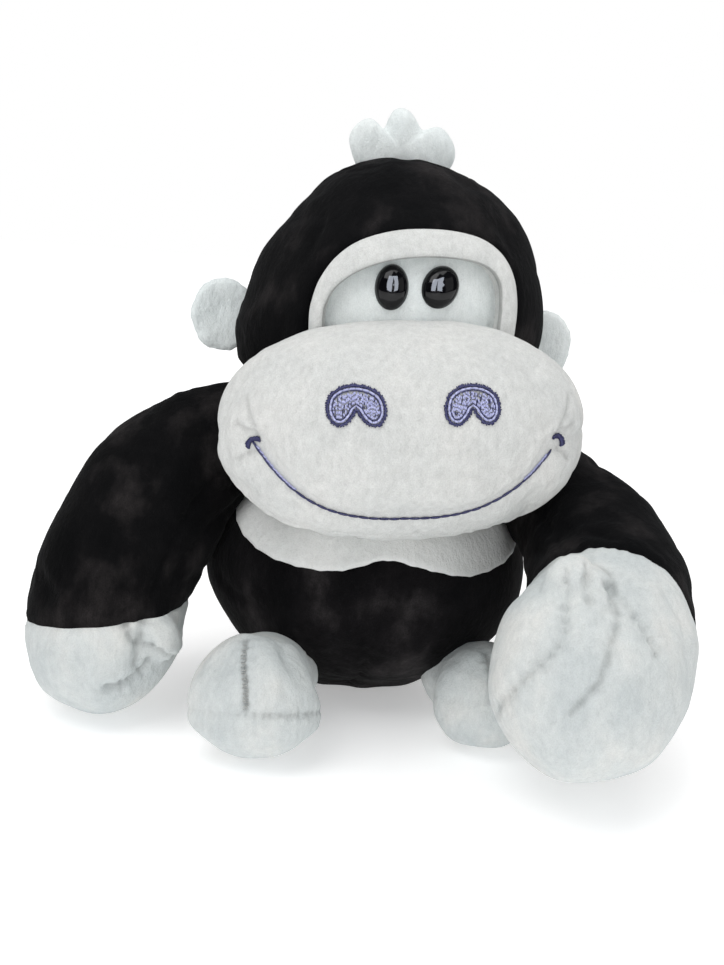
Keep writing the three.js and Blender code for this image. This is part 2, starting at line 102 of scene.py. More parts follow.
# The lower edge of the pale chest: degrees round the body from its front, and height.
CHEST_EDGE = (
    (-104, 108), (-96, 98), (-86, 91), (-72, 85.5), (-62, 81), (-53, 77.8), (-44, 75.6), (-33, 74.3),
    (-22, 74.6), (-13, 76.7), (-5, 79.6), (2, 80.6), (13, 78), (24, 75), (35, 73), (46, 74), (59, 77.2),
    (75, 81), (88, 87), (100, 100))
ARMS = {
    "right": {
        "points": ((-48, 10, 121), (-66, 8, 119), (-89.5, 2, 98.5), (-103.5, -4, 74.5), (-111.5, -9, 51),
                   (-114, -12, 33), (-112.5, -13, 2)),
        "flat": (0, 1, 0),
        "widths": (21, 27, 32.5, 34, 34, 33.5, 33.5),
        "depths": (21, 26, 31, 35, 38, 39.5, 39.5),
        "cuff": ((-113, -9, 46), (-0.13, 0.1, 1)),
        "thumb": {"centre": (-89, -36, 43), "radii": (7.5, 9, 12.5), "tilt": -38},
    },
    "left": {
        "points": ((48, 10, 118), (68, 3, 108.5), (84.5, -24, 93), (87.5, -56, 77), (75, -88, 60),
                   (44, -114, 35.5)),
        "flat": (0, 0, 1),
        "widths": (20, 25, 30.5, 34, 37.5, 35.5),
        "depths": (20, 25, 31, 36, 41.5, 42),
        "cuff": ((82, -72, 66), (0.42, 0.86, 0.3)),
        "thumb": {"centre": (59, -98, 92), "radii": (11, 9.5, 11), "tilt": 25},
    },
}
LEGS = {
    "right": {
        "points": ((-39, -28, 24), (-44, -40, 27), (-49.5, -52, 28), (-53, -81, 27)),
        "widths": (15.5, 22, 28.5, 28.5),
        "depths": (15.5, 22, 27.5, 26.5),
    },
    "left": {
        "points": ((39, -22, 24), (42, -29, 24.5), (45, -38, 24.5), (46, -64, 24)),
        "widths": (15.5, 21, 25.5, 25.5),
        "depths": (15.5, 21, 25, 24),
    },
}
# Seams and folds on each hand: the crease beside the thumb, and the seam down the palm.
HAND_SEAMS = {
    "right": (((-102, -46, 56), (-101, -47, 50.5), (-98, -47, 44.5), (-92, -46, 39), (-85, -42, 35),
               (-78, -34, 33)),
              ((-90, -44, 30), (-98, -48, 24), (-108, -50, 22))),
    "left": (((48, -106, 104), (46.7, -113, 97), (47.3, -118, 91), (46.6, -122, 79), (39.7, -118, 66),
              (34, -110, 52), (31, -100, 42)),
             ((63.5, -104, 104), (63.3, -110, 98.5), (59.5, -114, 94.5)),
             ((70, -104, 92), (74, -108, 80), (76, -108, 66))),
}
# Folds of the sleeve in the armpit, as seen from the front.
ARMPIT_FOLDS = {
    "right": (((-56, 104), (-66, 100), (-78, 96)), ((-60, 94), (-70, 86), (-80, 74), (-86, 62)),
              ((-54, 112), (-64, 110), (-74, 112))),
    "left": (((60, 96), (70, 102), (80, 104)), ((64, 86), (72, 92), (84, 96))),
}
NECK_TURN = 10          # degrees, either way
SHOULDER_ROOT = 23
HIP_ROOT = 16
FLOOR_GAP = 0.4         # hands and feet end this far above the floor
TOE_LIFT = 1.6
TOE_SPREAD = 0.24       # how much narrower a foot is at its top
CLOTH_STEPS = 20
SWELL_MOST = 2.0        # how far the filling may press the cloth out
FOLD_WIDTH = 2.5        # a line this wide or more is a soft fold, and isn't shaded as a seam
FRONT = (0, 1, 0)       # the way the front view looks
FAR_FRONT = -300        # where its rays start
SIDES = {"right": -1, "left": 1}


# ---------------------------------------------------------------- meshes
def to_frame(points):
    moved = np.array(points, float)
    moved[..., 1] -= ORIGIN_Y
    return moved * 0.001


def add_object(name, data):
    obj = bpy.data.objects.new(name, data)
    bpy.context.scene.collection.objects.link(obj)
    return obj


def make_object(name, points, faces):
    mesh = bpy.data.meshes.new(name)
    mesh.from_pydata(to_frame(points).tolist(), [], [list(map(int, face)) for face in faces])
    return add_object(name, mesh)


def to_drawing(points):
    return np.array(points) * 1000 + (0, ORIGIN_Y, 0)


def read_points(obj):
    flat = np.empty(len(obj.data.vertices) * 3)
    obj.data.vertices.foreach_get("co", flat)
    return to_drawing(flat.reshape(-1, 3))


def write_points(obj, points):
    obj.data.vertices.foreach_set("co", to_frame(points).ravel())
    obj.data.update()


def read_normals(obj):
    flat = np.empty(len(obj.data.vertices) * 3)
    obj.data.vertex_normals.foreach_get("vector", flat)
    return flat.reshape(-1, 3)


def bake(obj):
    """Applies every modifier."""
    evaluated = obj.evaluated_get(bpy.context.evaluated_depsgraph_get())
    mesh = bpy.data.meshes.new_from_object(evaluated)
    obj.modifiers.clear()
    obj.data = mesh
    return obj


def subdivide(obj, levels):
    modifier = obj.modifiers.new("fine", "SUBSURF")
    modifier.levels = modifier.render_levels = levels
    return bake(obj)


def relax(obj, repeats):
    modifier = obj.modifiers.new("relax", "SMOOTH")
    modifier.iterations = repeats
    return bake(obj)


def fuse(name, parts, voxel, repeats):
    """One closed mesh round several overlapping ones."""
    points, faces, start = [], [], 0
    for part_points, part_faces in parts:
        points.append(part_points)
        faces.extend([[index + start for index in face] for face in part_faces])
        start += len(part_points)
    obj = make_object(name, np.concatenate(points), faces)
    modifier = obj.modifiers.new("voxels", "REMESH")
    modifier.mode = "VOXEL"
    modifier.voxel_size = voxel * 0.001
    bake(obj)
    return relax(obj, repeats)


def quad_sphere(cells):
    """A unit sphere of even quads."""
    mesh = bmesh.new()
    bmesh.ops.create_cube(mesh, size=2)
    bmesh.ops.subdivide_edges(mesh, edges=mesh.edges[:], cuts=cells - 1, use_grid_fill=True)
    mesh.verts.index_update()
    points = np.tan(np.array([vert.co for vert in mesh.verts]) * math.pi / 4)
    faces = [[vert.index for vert in face.verts] for face in mesh.faces]
    mesh.free()
    return points / np.linalg.norm(points, axis=1, keepdims=True), faces


def egg(shape, grow=0.0, cells=24):
    points, faces = quad_sphere(cells)
    radii = np.array(shape["radii"], float)
    heights = np.where(points[:, 2] < 0, shape.get("low", radii[2]), radii[2])
    scaled = points * (radii + grow)
    scaled[:, 2] = points[:, 2] * (heights + grow)
    return scaled + np.array(shape["centre"]), faces


def ball(centre, radius):
    return egg({"centre": centre, "radii": (radius, radius, radius)}, cells=12)


def turned(points, centre, axis, angle):
    turn = np.array(Matrix.Rotation(angle, 3, axis))
    return (np.array(points, float) - centre) @ turn.T + centre


def rolled(points, share=1):
    """Tilts points with the face, about the muzzle's middle."""
    return turned(points, np.array(MUZZLE["centre"]) * (1, 0, 1), "Y", FACE_ROLL * share)


def curve_through(controls, count):
    """A smooth curve through the control points, cut into even steps."""
    controls = np.array(controls, float)
    padded = np.concatenate([[2 * controls[0] - controls[1]], controls, [2 * controls[-1] - controls[-2]]])
    dense = []
    for i in range(len(controls) - 1):
        p0, p1, p2, p3 = padded[i:i + 4]
        for t in np.linspace(0, 1, 24, endpoint=False):
            dense.append(0.5 * (2 * p1 + (p2 - p0) * t + (2 * p0 - 5 * p1 + 4 * p2 - p3) * t ** 2
                                + (3 * p1 - p0 - 3 * p2 + p3) * t ** 3))
    dense.append(controls[-1])
    dense = np.array(dense)
    length = np.concatenate([[0], np.cumsum(np.linalg.norm(np.diff(dense, axis=0), axis=1))])
    even = np.linspace(0, length[-1], count)
    return np.stack([np.interp(even, length, dense[:, k]) for k in range(dense.shape[1])], axis=1)


def mirrored(controls):
    """The same curve on each side of the toy."""
    return [curve_through(np.array(controls, float) * (side, 1, 1), 50) for side in (-1, 1)]


def points_from(*coordinates):
    """Points from their coordinates, any of which may be one number for all of them."""
    return np.stack(np.broadcast_arrays(*coordinates), axis=-1)


def unit(vectors):
    return vectors / np.linalg.norm(vectors, axis=-1, keepdims=True)


def tube_faces(rings, around):
    """Quads between closed rings of points, and a face over each end."""
    faces = []
    for row in range(0, (rings - 1) * around, around):
        for column in range(around):
            after = (column + 1) % around
            faces.append([row + column, row + after, row + around + after, row + around + column])
    last = (rings - 1) * around
    faces.append(list(range(around))[::-1])
    faces.append(list(range(last, last + around)))
    return faces


def make_tube(name, rings):
    return make_object(name, np.concatenate(rings), tube_faces(len(rings), len(rings[0])))


def circle(around):
    return np.linspace(0, 2 * math.pi, around, endpoint=False)


def limb_tube(limb):
    """A round-ended tube along a limb's curve."""
    around, rings = 40, 48
    flat = np.array(limb.get("flat", (0, 0, 1)), float)
    path = curve_through(limb["points"], 200)
    length = np.linalg.norm(np.diff(path, axis=0), axis=1).sum()
    tip = limb["depths"][-1]
    tangents = unit(np.gradient(path, axis=0))
    places = np.linspace(0, 1, len(limb["widths"]))
    angles = circle(around)
    points = []
    for along in np.sin(np.linspace(0, math.pi / 2, rings)):
        from_tip = (1 - along) * length
        fade = max(0.02, math.sqrt(max(0, 1 - (1 - from_tip / tip) ** 2)) if from_tip < tip else 1)
        index = min(len(path) - 1, int(round(along * (len(path) - 1))))
        tangent = tangents[index]
        deep = unit(flat - tangent * flat.dot(tangent))
        wide = np.cross(deep, tangent)
        width = np.interp(along, places, limb["widths"]) * fade
        depth = np.interp(along, places, limb["depths"]) * fade
        ring = np.outer(np.cos(angles), wide) * width + np.outer(np.sin(angles), deep) * depth
        points.append(path[index] + ring)
    return np.concatenate(points), tube_faces(rings, around)


# ---------------------------------------------------------------- cloth and seams
def lump(obj, height, size, seed):
    """Gentle unevenness of the filling."""
    random = np.random.RandomState(seed)
    points = read_points(obj)
    wave = np.zeros(len(points))
    for _ in range(9):
        direction = unit(random.normal(size=3)) * random.uniform(0.7, 1.5) * 2 * math.pi / size
        wave += np.cos(points @ direction + random.uniform(0, 2 * math.pi))
    push(obj, wave * height / 3)


def stuff(obj, held, swell):
    """Swells the cloth under pressure, as far as it may: it is held along its seams and puckers there."""
    rest = read_points(obj)
    group = obj.vertex_groups.new(name="held")
    for index, weight in enumerate(np.clip(held, 0, 1)):
        if weight > 0.01:
            group.add([index], float(weight), "REPLACE")
    cloth = obj.modifiers.new("cloth", "CLOTH")
    settings = cloth.settings
    settings.quality = 5
    settings.mass = 0.2
    settings.tension_stiffness = settings.compression_stiffness = 12
    settings.shear_stiffness = 6
    settings.bending_stiffness = 0.08
    settings.vertex_group_mass = "held"
    settings.use_pressure = True
    settings.uniform_pressure_force = 4
    settings.shrink_min = settings.shrink_max = -swell
    settings.effector_weights.gravity = 0
    cloth.collision_settings.use_collision = False
    cloth.point_cache.frame_start = 1
    cloth.point_cache.frame_end = CLOTH_STEPS
    for step in range(1, CLOTH_STEPS + 1):
        bpy.context.scene.frame_set(step)
    bake(obj)
    bpy.context.scene.frame_set(1)
    obj.vertex_groups.clear()
    moved = read_points(obj) - rest
    size = np.linalg.norm(moved, axis=1, keepdims=True)
    write_points(obj, rest + moved * np.minimum(1, SWELL_MOST / np.maximum(size, 1e-6)))


def fill(obj, held, swell, uneven, floor=None):
    """Stuffs a piece, makes its mesh finer and its filling lumpy: uneven is height, size and seed."""
    stuff(obj, held, swell)
    if floor is not None:
        sit_flat(obj, floor)
    subdivide(obj, 1)
    lump(obj, *uneven)


def bell(distance, width):
    return np.exp(-(distance / width) ** 2)


def push(obj, amount):
    """Moves the cloth outwards, or inwards where the amount is below zero."""
    write_points(obj, read_points(obj) + read_normals(obj) * amount[:, None])


def nearest(points, path):
    """Each point's distance to a path, and how far along the path it is."""
    starts, steps = path[:-1], np.diff(path, axis=0)
    lengths = np.linalg.norm(steps, axis=1)
    before = np.concatenate([[0], np.cumsum(lengths)[:-1]])
    best = np.full(len(points), 1e9)
    along = np.zeros(len(points))
    for start, step, length, offset in zip(starts, steps, lengths, before):
        t = np.clip((points - start) @ step / max(length ** 2, 1e-9), 0, 1)
        distance = np.linalg.norm(points - start - t[:, None] * step, axis=1)
        closer = distance < best
        best[closer] = distance[closer]
        along[closer] = offset + t[closer] * length
    return best, along


def near(obj, path, reach):
    """1 on the path, falling to 0 at `reach` from it."""
    distance, _ = nearest(read_points(obj), path)
    return np.clip(1 - distance / reach, 0, 1)


def sew(obj, path, depth, width, pucker=0.0, pitch=7.0, shade=0.3):
    """Draws the cloth in along a seam, with small puckers across it; a narrow one also gets painted shade in
    its groove.
    """
    distance, along = nearest(read_points(obj), path)
    wave = np.cos(2 * math.pi * along / pitch) + 0.6 * np.cos(2 * math.pi * along / (pitch * 0.62) + 1.3)
    push(obj, -depth * bell(distance, width) - pucker * wave * bell(distance, 2.4 * width))
    if width < FOLD_WIDTH:
        mark_painted_shade(obj, shade * (1 + 0.2 * wave) * bell(distance, 0.5 * width + 0.35))


def mark_painted_shade(obj, closeness):
    """Keeps where seams, creases and overhangs are, for the painted shade in them."""
    layer = obj.data.attributes.get("seam") or obj.data.attributes.new("seam", "FLOAT", "POINT")
    marked = np.empty(len(obj.data.vertices), np.float32)
    layer.data.foreach_get("value", marked)
    layer.data.foreach_set("value", np.maximum(marked, closeness.astype(np.float32)))


def surface_of(obj):
    """The piece's surface as it is now, in metres."""
    mesh = bmesh.new()
    mesh.from_mesh(obj.data)
    surface = BVHTree.FromBMesh(mesh)
    mesh.free()
    return surface


def cast(surface, origin, direction):
    """The drawing point, in mm, where a ray meets a surface, and the normal there."""
    hit, normal, _, _ = surface.ray_cast(Vector(to_frame(origin)), Vector(direction))
    return (None, None) if hit is None else (to_drawing(hit), np.array(normal))


def front_path(obj, flat, count=60):
    """A path drawn as seen from the front, laid on the piece."""
    surface = surface_of(obj)
    found = [cast(surface, (x, FAR_FRONT, z), FRONT)[0] for x, z in curve_through(flat, count)]
    return np.array([point for point in found if point is not None])


def settle(obj, path):
    """Moves a path on to the nearest cloth."""
    surface = surface_of(obj)
    spots = [surface.find_nearest(Vector(point))[0] for point in to_frame(path)]
    return to_drawing(spots)


def dent(obj, shape, grow):
    """Presses the piece in where an egg shape is."""
    centre, radii = np.array(shape["centre"], float), np.array(shape["radii"], float) + grow
    points = read_points(obj)
    out = points - centre
    size = np.linalg.norm(out / radii, axis=1)
    inside = size < 1
    points[inside] = centre + out[inside] / np.maximum(size[inside], 0.05)[:, None]
    write_points(obj, points)


def sit_flat(obj, height=0.0):
    """Presses the piece's underside flat."""
    points = read_points(obj)
    low = points[:, 2] < height
    points[low, 2] = height
    write_points(obj, points)


# ---------------------------------------------------------------- materials
def node(tree, kind, links=None, **values):
    made = tree.nodes.new(kind)
    for name, value in values.items():
        if hasattr(made, name):
            setattr(made, name, value)
        else:
            made.inputs[name].default_value = value
    for name, socket in (links or {}).items():
        tree.links.new(socket, made.inputs[name])
    return made


def new_material(name):
    """A material with its tree, its shader and the place on the piece that patterns start from."""
    material = bpy.data.materials.new(name)
    material.use_nodes = True
    tree = material.node_tree
    tree.nodes.clear()
    output = tree.nodes.new("ShaderNodeOutputMaterial")
    shader = tree.nodes.new("ShaderNodeBsdfPrincipled")
    tree.links.new(shader.outputs[0], output.inputs[0])
    return material, tree, shader, tree.nodes.new("ShaderNodeTexCoord").outputs["Object"]


def set_inputs(made, **values):
    """Sets a node's inputs, named in lower case with underscores for spaces."""
    for socket in made.inputs:
        key = socket.name.lower().replace(" ", "_")
        if key in values:
            socket.default_value = values.pop(key)
    assert not values, values


def noise(tree, place, scale, detail=2.0, stretch=(1, 1, 1)):
    mapping = node(tree, "ShaderNodeMapping", {"Vector": place}, Scale=stretch)
    made = node(tree, "ShaderNodeTexNoise", {"Vector": mapping.outputs[0]}, Scale=scale, Detail=detail)
    return made.outputs["Fac"]


def ramp(tree, value, stops):
    made = node(tree, "ShaderNodeValToRGB", {"Fac": value})
    elements = made.color_ramp.elements
    while len(elements) < len(stops):
        elements.new(0.5)
    for element, (place, colour) in zip(elements, stops):
        element.position = place
        element.color = (*colour, 1)
    return made.outputs["Color"]


def multiply(tree, first, second):
    """Both colours, multiplied."""
    made = tree.nodes.new("ShaderNodeMix")
    made.data_type = "RGBA"
    made.blend_type = "MULTIPLY"
    made.inputs[0].default_value = 1
    tree.links.new(first, made.inputs[6])
    tree.links.new(second, made.inputs[7])
    return made.outputs[2]


def plush(name, patches, hollow_shade, sheen, bump):
    """Short pile: patches brushed different ways, their lighter tone painted sheen; small clumps and the pile
    itself, with painted shade in their hollows; and painted shade along seams and creases.
    """
    material, tree, shader, place = new_material(name)
    # The patches' lighter tone is painted sheen of brushed pile.
    patch = ramp(tree, noise(tree, place, 42, 4.0, (1, 1, 0.7)), patches)
    clump = noise(tree, place, 420, 3.0, (1, 1, 0.55))
    pile = noise(tree, place, 2300, 3.0, (1, 1, 0.7))
    # Painted shade in the hollows between clumps and in the pile, where the bump is low.
    shade = ramp(tree, clump, ((0.25, hollow_shade), (0.8, WHITE)))
    fine = ramp(tree, pile, ((0.3, hollow_shade), (0.72, WHITE)))
    colour = multiply(tree, multiply(tree, patch, shade), fine)
    # Painted shade in seams, creases and under the brow's lip, from the seam attribute.
    seam = node(tree, "ShaderNodeAttribute", attribute_name="seam").outputs["Fac"]
    painted_seam_shade = ramp(tree, seam, ((0.0, WHITE), (1.0, SEAM_SHADE)))
    tree.links.new(multiply(tree, colour, painted_seam_shade), shader.inputs["Base Color"])
    coarse = node(tree, "ShaderNodeBump", {"Height": clump}, Strength=bump, Distance=0.0012)
    rough = node(tree, "ShaderNodeBump", {"Height": pile, "Normal": coarse.outputs[0]},
                 Strength=bump, Distance=0.0005)
    tree.links.new(rough.outputs[0], shader.inputs["Normal"])
    set_inputs(shader, roughness=0.95, specular_ior_level=0.05, sheen_weight=sheen, sheen_roughness=0.45)
    return material


def thread(name, light, dark):
    """Shiny embroidery thread, with painted shade in the grooves of its twist."""
    material, tree, shader, place = new_material(name)
    twist = noise(tree, place, 2600, 2.0)
    tree.links.new(ramp(tree, twist, ((0.35, dark), (0.65, light))), shader.inputs["Base Color"])
    bump = node(tree, "ShaderNodeBump", {"Height": twist}, Strength=0.5, Distance=0.0002)
    tree.links.new(bump.outputs[0], shader.inputs["Normal"])
    set_inputs(shader, roughness=0.5, specular_ior_level=0.25)
    return material


def glossy(name):
    """Polished plastic with the faintest moulding waves and dust."""
    material, tree, shader, place = new_material(name)
    wave = noise(tree, place, 130, 2.0)
    dust = noise(tree, place, 2400, 3.0)
    tree.links.new(ramp(tree, wave, ((0.3, (0.002, 0.002, 0.003)), (0.7, (0.006, 0.006, 0.007)))),
                   shader.inputs["Base Color"])
    rough = node(tree, "ShaderNodeMapRange", {"Value": dust})
    set_inputs(rough, to_min=0.03, to_max=0.09)
    tree.links.new(rough.outputs[0], shader.inputs["Roughness"])
    bump = node(tree, "ShaderNodeBump", {"Height": wave}, Strength=0.08, Distance=0.0003)
    tree.links.new(bump.outputs[0], shader.inputs["Normal"])
    set_inputs(shader, specular_ior_level=0.3)
    return material


WHITE = (1, 1, 1)
# The painted shade at the bottom of seams and creases.
SEAM_SHADE = (0.10, 0.10, 0.095)
# Each plush's tones, from its own colour up to the lighter tone of its brushed patches, which is painted
# sheen.
BLACK_TONES_AND_SHEEN = ((0.38, (0.0016, 0.0015, 0.0016)), (0.52, (0.0048, 0.0043, 0.0045)),
                 (0.68, (0.032, 0.028, 0.028)))
BODY_TONES_AND_SHEEN = ((0.36, (0.0035, 0.0030, 0.0033)), (0.52, (0.0110, 0.0096, 0.0103)),
                (0.66, (0.046, 0.041, 0.042)))
PALE_TONES_AND_SHEEN = ((0.30, (0.71, 0.725, 0.715)), (0.52, (0.765, 0.775, 0.76)), (0.75, (0.81, 0.81, 0.79)))
HAND_TONES_AND_SHEEN = ((0.36, (0.66, 0.70, 0.70)), (0.52, (0.73, 0.76, 0.75)), (0.68, (0.81, 0.815, 0.79)))
ICE_TONES_AND_SHEEN = ((0.30, (0.80, 0.85, 0.85)), (0.52, (0.85, 0.89, 0.885)), (0.75, (0.89, 0.92, 0.91)))
# The chest's plush is the pale plush made brighter: painted light against the shade under the muzzle.
CHEST_LIT_TONES_AND_SHEEN = ((0.30, (0.85, 0.865, 0.85)), (0.52, (0.90, 0.91, 0.895)), (0.75, (0.94, 0.94, 0.92)))
BLACK = plush("black_plush", BLACK_TONES_AND_SHEEN, (0.5, 0.5, 0.5), 0.02, 0.5)
BODY_BLACK = plush("body_plush", BODY_TONES_AND_SHEEN, (0.5, 0.5, 0.5), 0.03, 0.5)
PALE = plush("pale_plush", PALE_TONES_AND_SHEEN, (0.83, 0.83, 0.83), 0.08, 0.6)
HAND_PALE = plush("hand_plush", HAND_TONES_AND_SHEEN, (0.86, 0.865, 0.87), 0.08, 0.6)
# A brighter copy of the pale plush for the chest: painted light.
CHEST_LIT_PALE = plush("chest_plush", CHEST_LIT_TONES_AND_SHEEN, (0.91, 0.91, 0.91), 0.1, 0.6)
ICE = plush("ice_plush", ICE_TONES_AND_SHEEN, (0.88, 0.885, 0.885), 0.08, 0.6)
LILAC = thread("lilac_thread", (0.50, 0.52, 0.74), (0.30, 0.31, 0.55))
SEAM = thread("seam_thread", (0.55, 0.56, 0.54), (0.30, 0.30, 0.29))
NAVY = thread("navy_thread", (0.028, 0.027, 0.12), (0.008, 0.008, 0.04))
EYE_PLASTIC = glossy("eye_plastic")


# ---------------------------------------------------------------- finishing a piece
def finish(obj, material, replaced, body=None, bend=None):
    """Gives a piece its material and its place on the frame."""
    obj.data.materials.clear()
    obj.data.materials.append(material)
    obj.data.polygons.foreach_set("use_smooth", [True] * len(obj.data.polygons))
    obj.data.update()
    if replaced:
        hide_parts(*replaced)
    if bend:
        fixed, moving, start, end = bend
        tuple(to_frame(start))
        tuple(to_frame(end))
        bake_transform(obj)
    else:
        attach(obj, body)


# ---------------------------------------------------------------- torso
def make_torso():
    obj = fuse("torso_plush", [egg(shape, -CLOTH_SLACK) for shape in (BELLY, RUMP, CHEST)], 3.4, 6)
    front_seam = front_path(obj, ((-6, 2), (-5, 14), (-4, 34)))
    sides = mirrored(((71, 22, 30), (75, 24, 62), (62, 22, 92), (46, 18, 112)))
    back_seam = curve_through(((0, 72, 6), (0, 78, 50), (0, 66, 92), (0, 52, 122)), 60)
    held = np.maximum.reduce([near(obj, path, 7) for path in (*sides, back_seam, front_seam)])
    fill(obj, held, 0.025, (0.5, 34, 3), floor=0.0)
    sew(obj, front_seam, 1.3, 1.8, 0.25, 9)
    for path in (*sides, back_seam):
        sew(obj, path, 1.0, 2.0, 0.3, 11)
    sew(obj, front_path(obj, ((-66, 60), (-58, 55), (-50, 54))), 1.2, 3.0)
    sew(obj, front_path(obj, ((-32, 62), (-22, 57), (-10, 56))), 0.9, 3.4)
    sit_flat(obj)
    return obj


def make_chest(torso):
    """The pale chest, sewn over the torso, with its wavy lower edge."""
    surface = surface_of(torso)
    edge = curve_through(CHEST_EDGE, 110)
    top = 116
    heights = np.concatenate([np.linspace(0, 0.12, 7), np.linspace(0.2, 1, 13)])
    outer, inner = [], []
    for step, (degrees, low) in enumerate(edge):
        fringe = 0.5 * math.sin(step * 2.1) * math.sin(step * 0.7)
        out = np.array((math.sin(math.radians(degrees)), -math.cos(math.radians(degrees)), 0))
        side = min(1, min(step, len(edge) - 1 - step) / 4)
        for height in heights:
            hit, _ = cast(surface, (0, 14, low + fringe + (top - low) * height), out)
            rise = math.sqrt(min(1, height / 0.06)) * side
            outer.append(hit + out * (1.5 * rise - 0.3))
            inner.append(hit - out * 1.6)
    columns, count = len(edge), len(heights)
    faces = []
    back = columns * count
    for i in range(columns - 1):
        for j in range(count - 1):
            a, b = i * count + j, (i + 1) * count + j
            faces.append([a, b, b + 1, a + 1])
            faces.append([back + a + 1, back + b + 1, back + b, back + a])
        low, high = i * count, i * count + count - 1
        faces.append([low, back + low, back + low + count, low + count])
        faces.append([high, high + count, back + high + count, back + high])
    last = (columns - 1) * count
    for j in range(count - 1):
        faces.append([j, j + 1, back + j + 1, back + j])
        faces.append([last + j, back + last + j, back + last + j + 1, last + j + 1])
    return subdivide(make_object("chest_plush", outer + inner, faces), 1)


def make_neck():
    """Cloth between the torso and the head, a surface of revolution about the neck's turning axis."""
    profile = ((0.5, 96), (30, 104), (43, 122), (45, 138), (44, 150), (34, 164), (0.5, 168))
    angles = circle(56)
    rings = [points_from(NECK[0] + r * np.cos(angles), NECK[1] + r * np.sin(angles), z)
             for r, z in curve_through(profile, 30)]
    return make_tube("neck_sleeve", rings)


# ---------------------------------------------------------------- head
def front_y(shape, x, z, grow=0.0):
    """How far forward an egg shape comes at a place seen from the front."""
    across = (x - shape["centre"][0]) / (shape["radii"][0] + grow)
    up = (z - shape["centre"][2]) / (shape["radii"][2] + grow)
    return shape["centre"][1] - (shape["radii"][1] + grow) * np.sqrt(np.maximum(0, 1 - across ** 2 - up ** 2))


def arch(count, inward):
    """A line round the brow band, a share of the way from its outer edge to its inner one."""
    flat = (1 - inward) * curve_through(BROW_OUTER, count) + inward * curve_through(BROW_INNER, count)
    return points_from(flat[:, 0], 0, flat[:, 1])


def head_normal(points):
    return unit((points - np.array(HEAD["centre"])) / np.array(HEAD["radii"]) ** 2)


def make_hood():
    points, faces = egg(HEAD, -CLOTH_SLACK, 36)
    right, left = (np.interp(points[:, 2], HOOD_HEIGHTS, shares) for shares in HOOD_SHARES)
    points[:, 0] *= np.where(points[:, 0] < 0, right, left)
    obj = make_object("hood_plush", points, faces)
    crown = ((1, -40, 222), (0, -14, 240), (0, 6, 241), (0, 34, 232), (0, 58, 196), (0, 60, 160))
    crown = curve_through(crown, 60)
    sides = mirrored(((12, -8, 240), (46, 4, 222), (63, 8, 190), (63, 8, 150)))
    held = np.maximum.reduce([near(obj, path, 6) for path in (crown, *sides)])
    fill(obj, held, 0.02, (0.35, 36, 11))
    sew(obj, crown[18:], 0.9, 1.8, 0.25, 10)
    for path in sides:
        sew(obj, path, 0.8, 1.8, 0.3, 12)
    inside_arch(obj)
    return obj


def inside_loop(loop, x, z):
    """Which of the front-view points are inside a closed outline."""
    inside = np.zeros(np.shape(x), bool)
    for (x1, z1), (x2, z2) in zip(loop, np.roll(loop, -1, axis=0)):
        slope = (x2 - x1) / (z2 - z1 or 1e-9)
        inside ^= ((z1 > z) != (z2 > z)) & (x < x1 + slope * (z - z1))
    return inside


def inside_arch(obj):
    """Draws the hood in behind the brow and the eye panel, with a soft edge."""
    points = read_points(obj)
    outline = arch(80, 0.55)[:, (0, 2)]
    away = np.linalg.norm(points[:, None, (0, 2)] - outline, axis=2).min(axis=1)
    share = np.where(inside_loop(outline, points[:, 0], points[:, 2]), 1.0, np.clip(1 - away / 7, 0, 1))
    share[points[:, 1] > HEAD["centre"][1] - 15] = 0
    share = share ** 2 * (3 - 2 * share)
    write_points(obj, points - head_normal(points) * (share * 9)[:, None])


def make_brow():
    """A padded welt: flush with the hood outside, with a thick lip over the eye panel inside."""
    outer, inner = arch(150, 0.0), arch(150, 1.0)
    section = curve_through(((-0.06, -3.0), (-0.05, -0.6), (0.03, 0.6), (0.25, 1.5), (0.6, 2.2), (0.9, 2.1),
                             (1.03, 1.2), (1.06, -0.2), (0.98, -1.6), (0.8, -3), (0.7, -7), (0.1, -7),
                             (-0.06, -3.0)), 49)[:-1]
    rings = []
    for index in range(len(outer)):
        wobble = 1 + 0.05 * math.sin(index * 0.42) + 0.04 * math.sin(index * 1.1 + 1)
        ring = []
        for across, proud in section:
            x, _, z = outer[index] + (inner[index] - outer[index]) * across
            point = np.array((x, front_y(HEAD, x, z), z))
            ring.append(point + head_normal(point) * (proud * wobble if proud > 0 else proud))
        rings.append(ring)
    obj = make_tube("brow_plush", rings)
    # Painted shadow on the brow's inner wall, under the lip where it overhangs the eye panel.
    inside = np.array([1.0 if across > 1 and proud < 1 else 0.0 for across, proud in section])
    mark_painted_shade(obj, np.tile(0.45 * inside, len(rings)))
    return subdivide(obj, 1)


def make_face_panel():
    """The recessed panel behind the eyes, gently crowned."""
    rim = arch(90, 0.62)
    centre = rim.mean(axis=0)
    loop = np.concatenate([rim, np.linspace(rim[-1], rim[0], 42)[1:-1]])
    front, back = [], []
    for share in np.linspace(1, 0.02, 24):
        ring = centre + (loop - centre) * share
        y = front_y(HEAD, ring[:, 0], ring[:, 2], -PANEL_DEEP + 0.8 * (1 - share ** 2))
        ring = points_from(ring[:, 0], y, ring[:, 2])
        front.append(ring)
        back.append(ring + (0, 2.4, 0))
    return make_tube("face_panel", back[::-1] + front)


def mouth_path(count=90):
    across = np.linspace(-1, 1, count)
    x = MOUTH["mid"] + across * MOUTH["half"]
    curl = np.where(across < 0, *MOUTH["curls"])
    z = MOUTH["bottom"] + (MOUTH["corner"] - MOUTH["bottom"]) * np.abs(across) ** curl
    return rolled(points_from(x, front_y(MUZZLE, x, z), z))


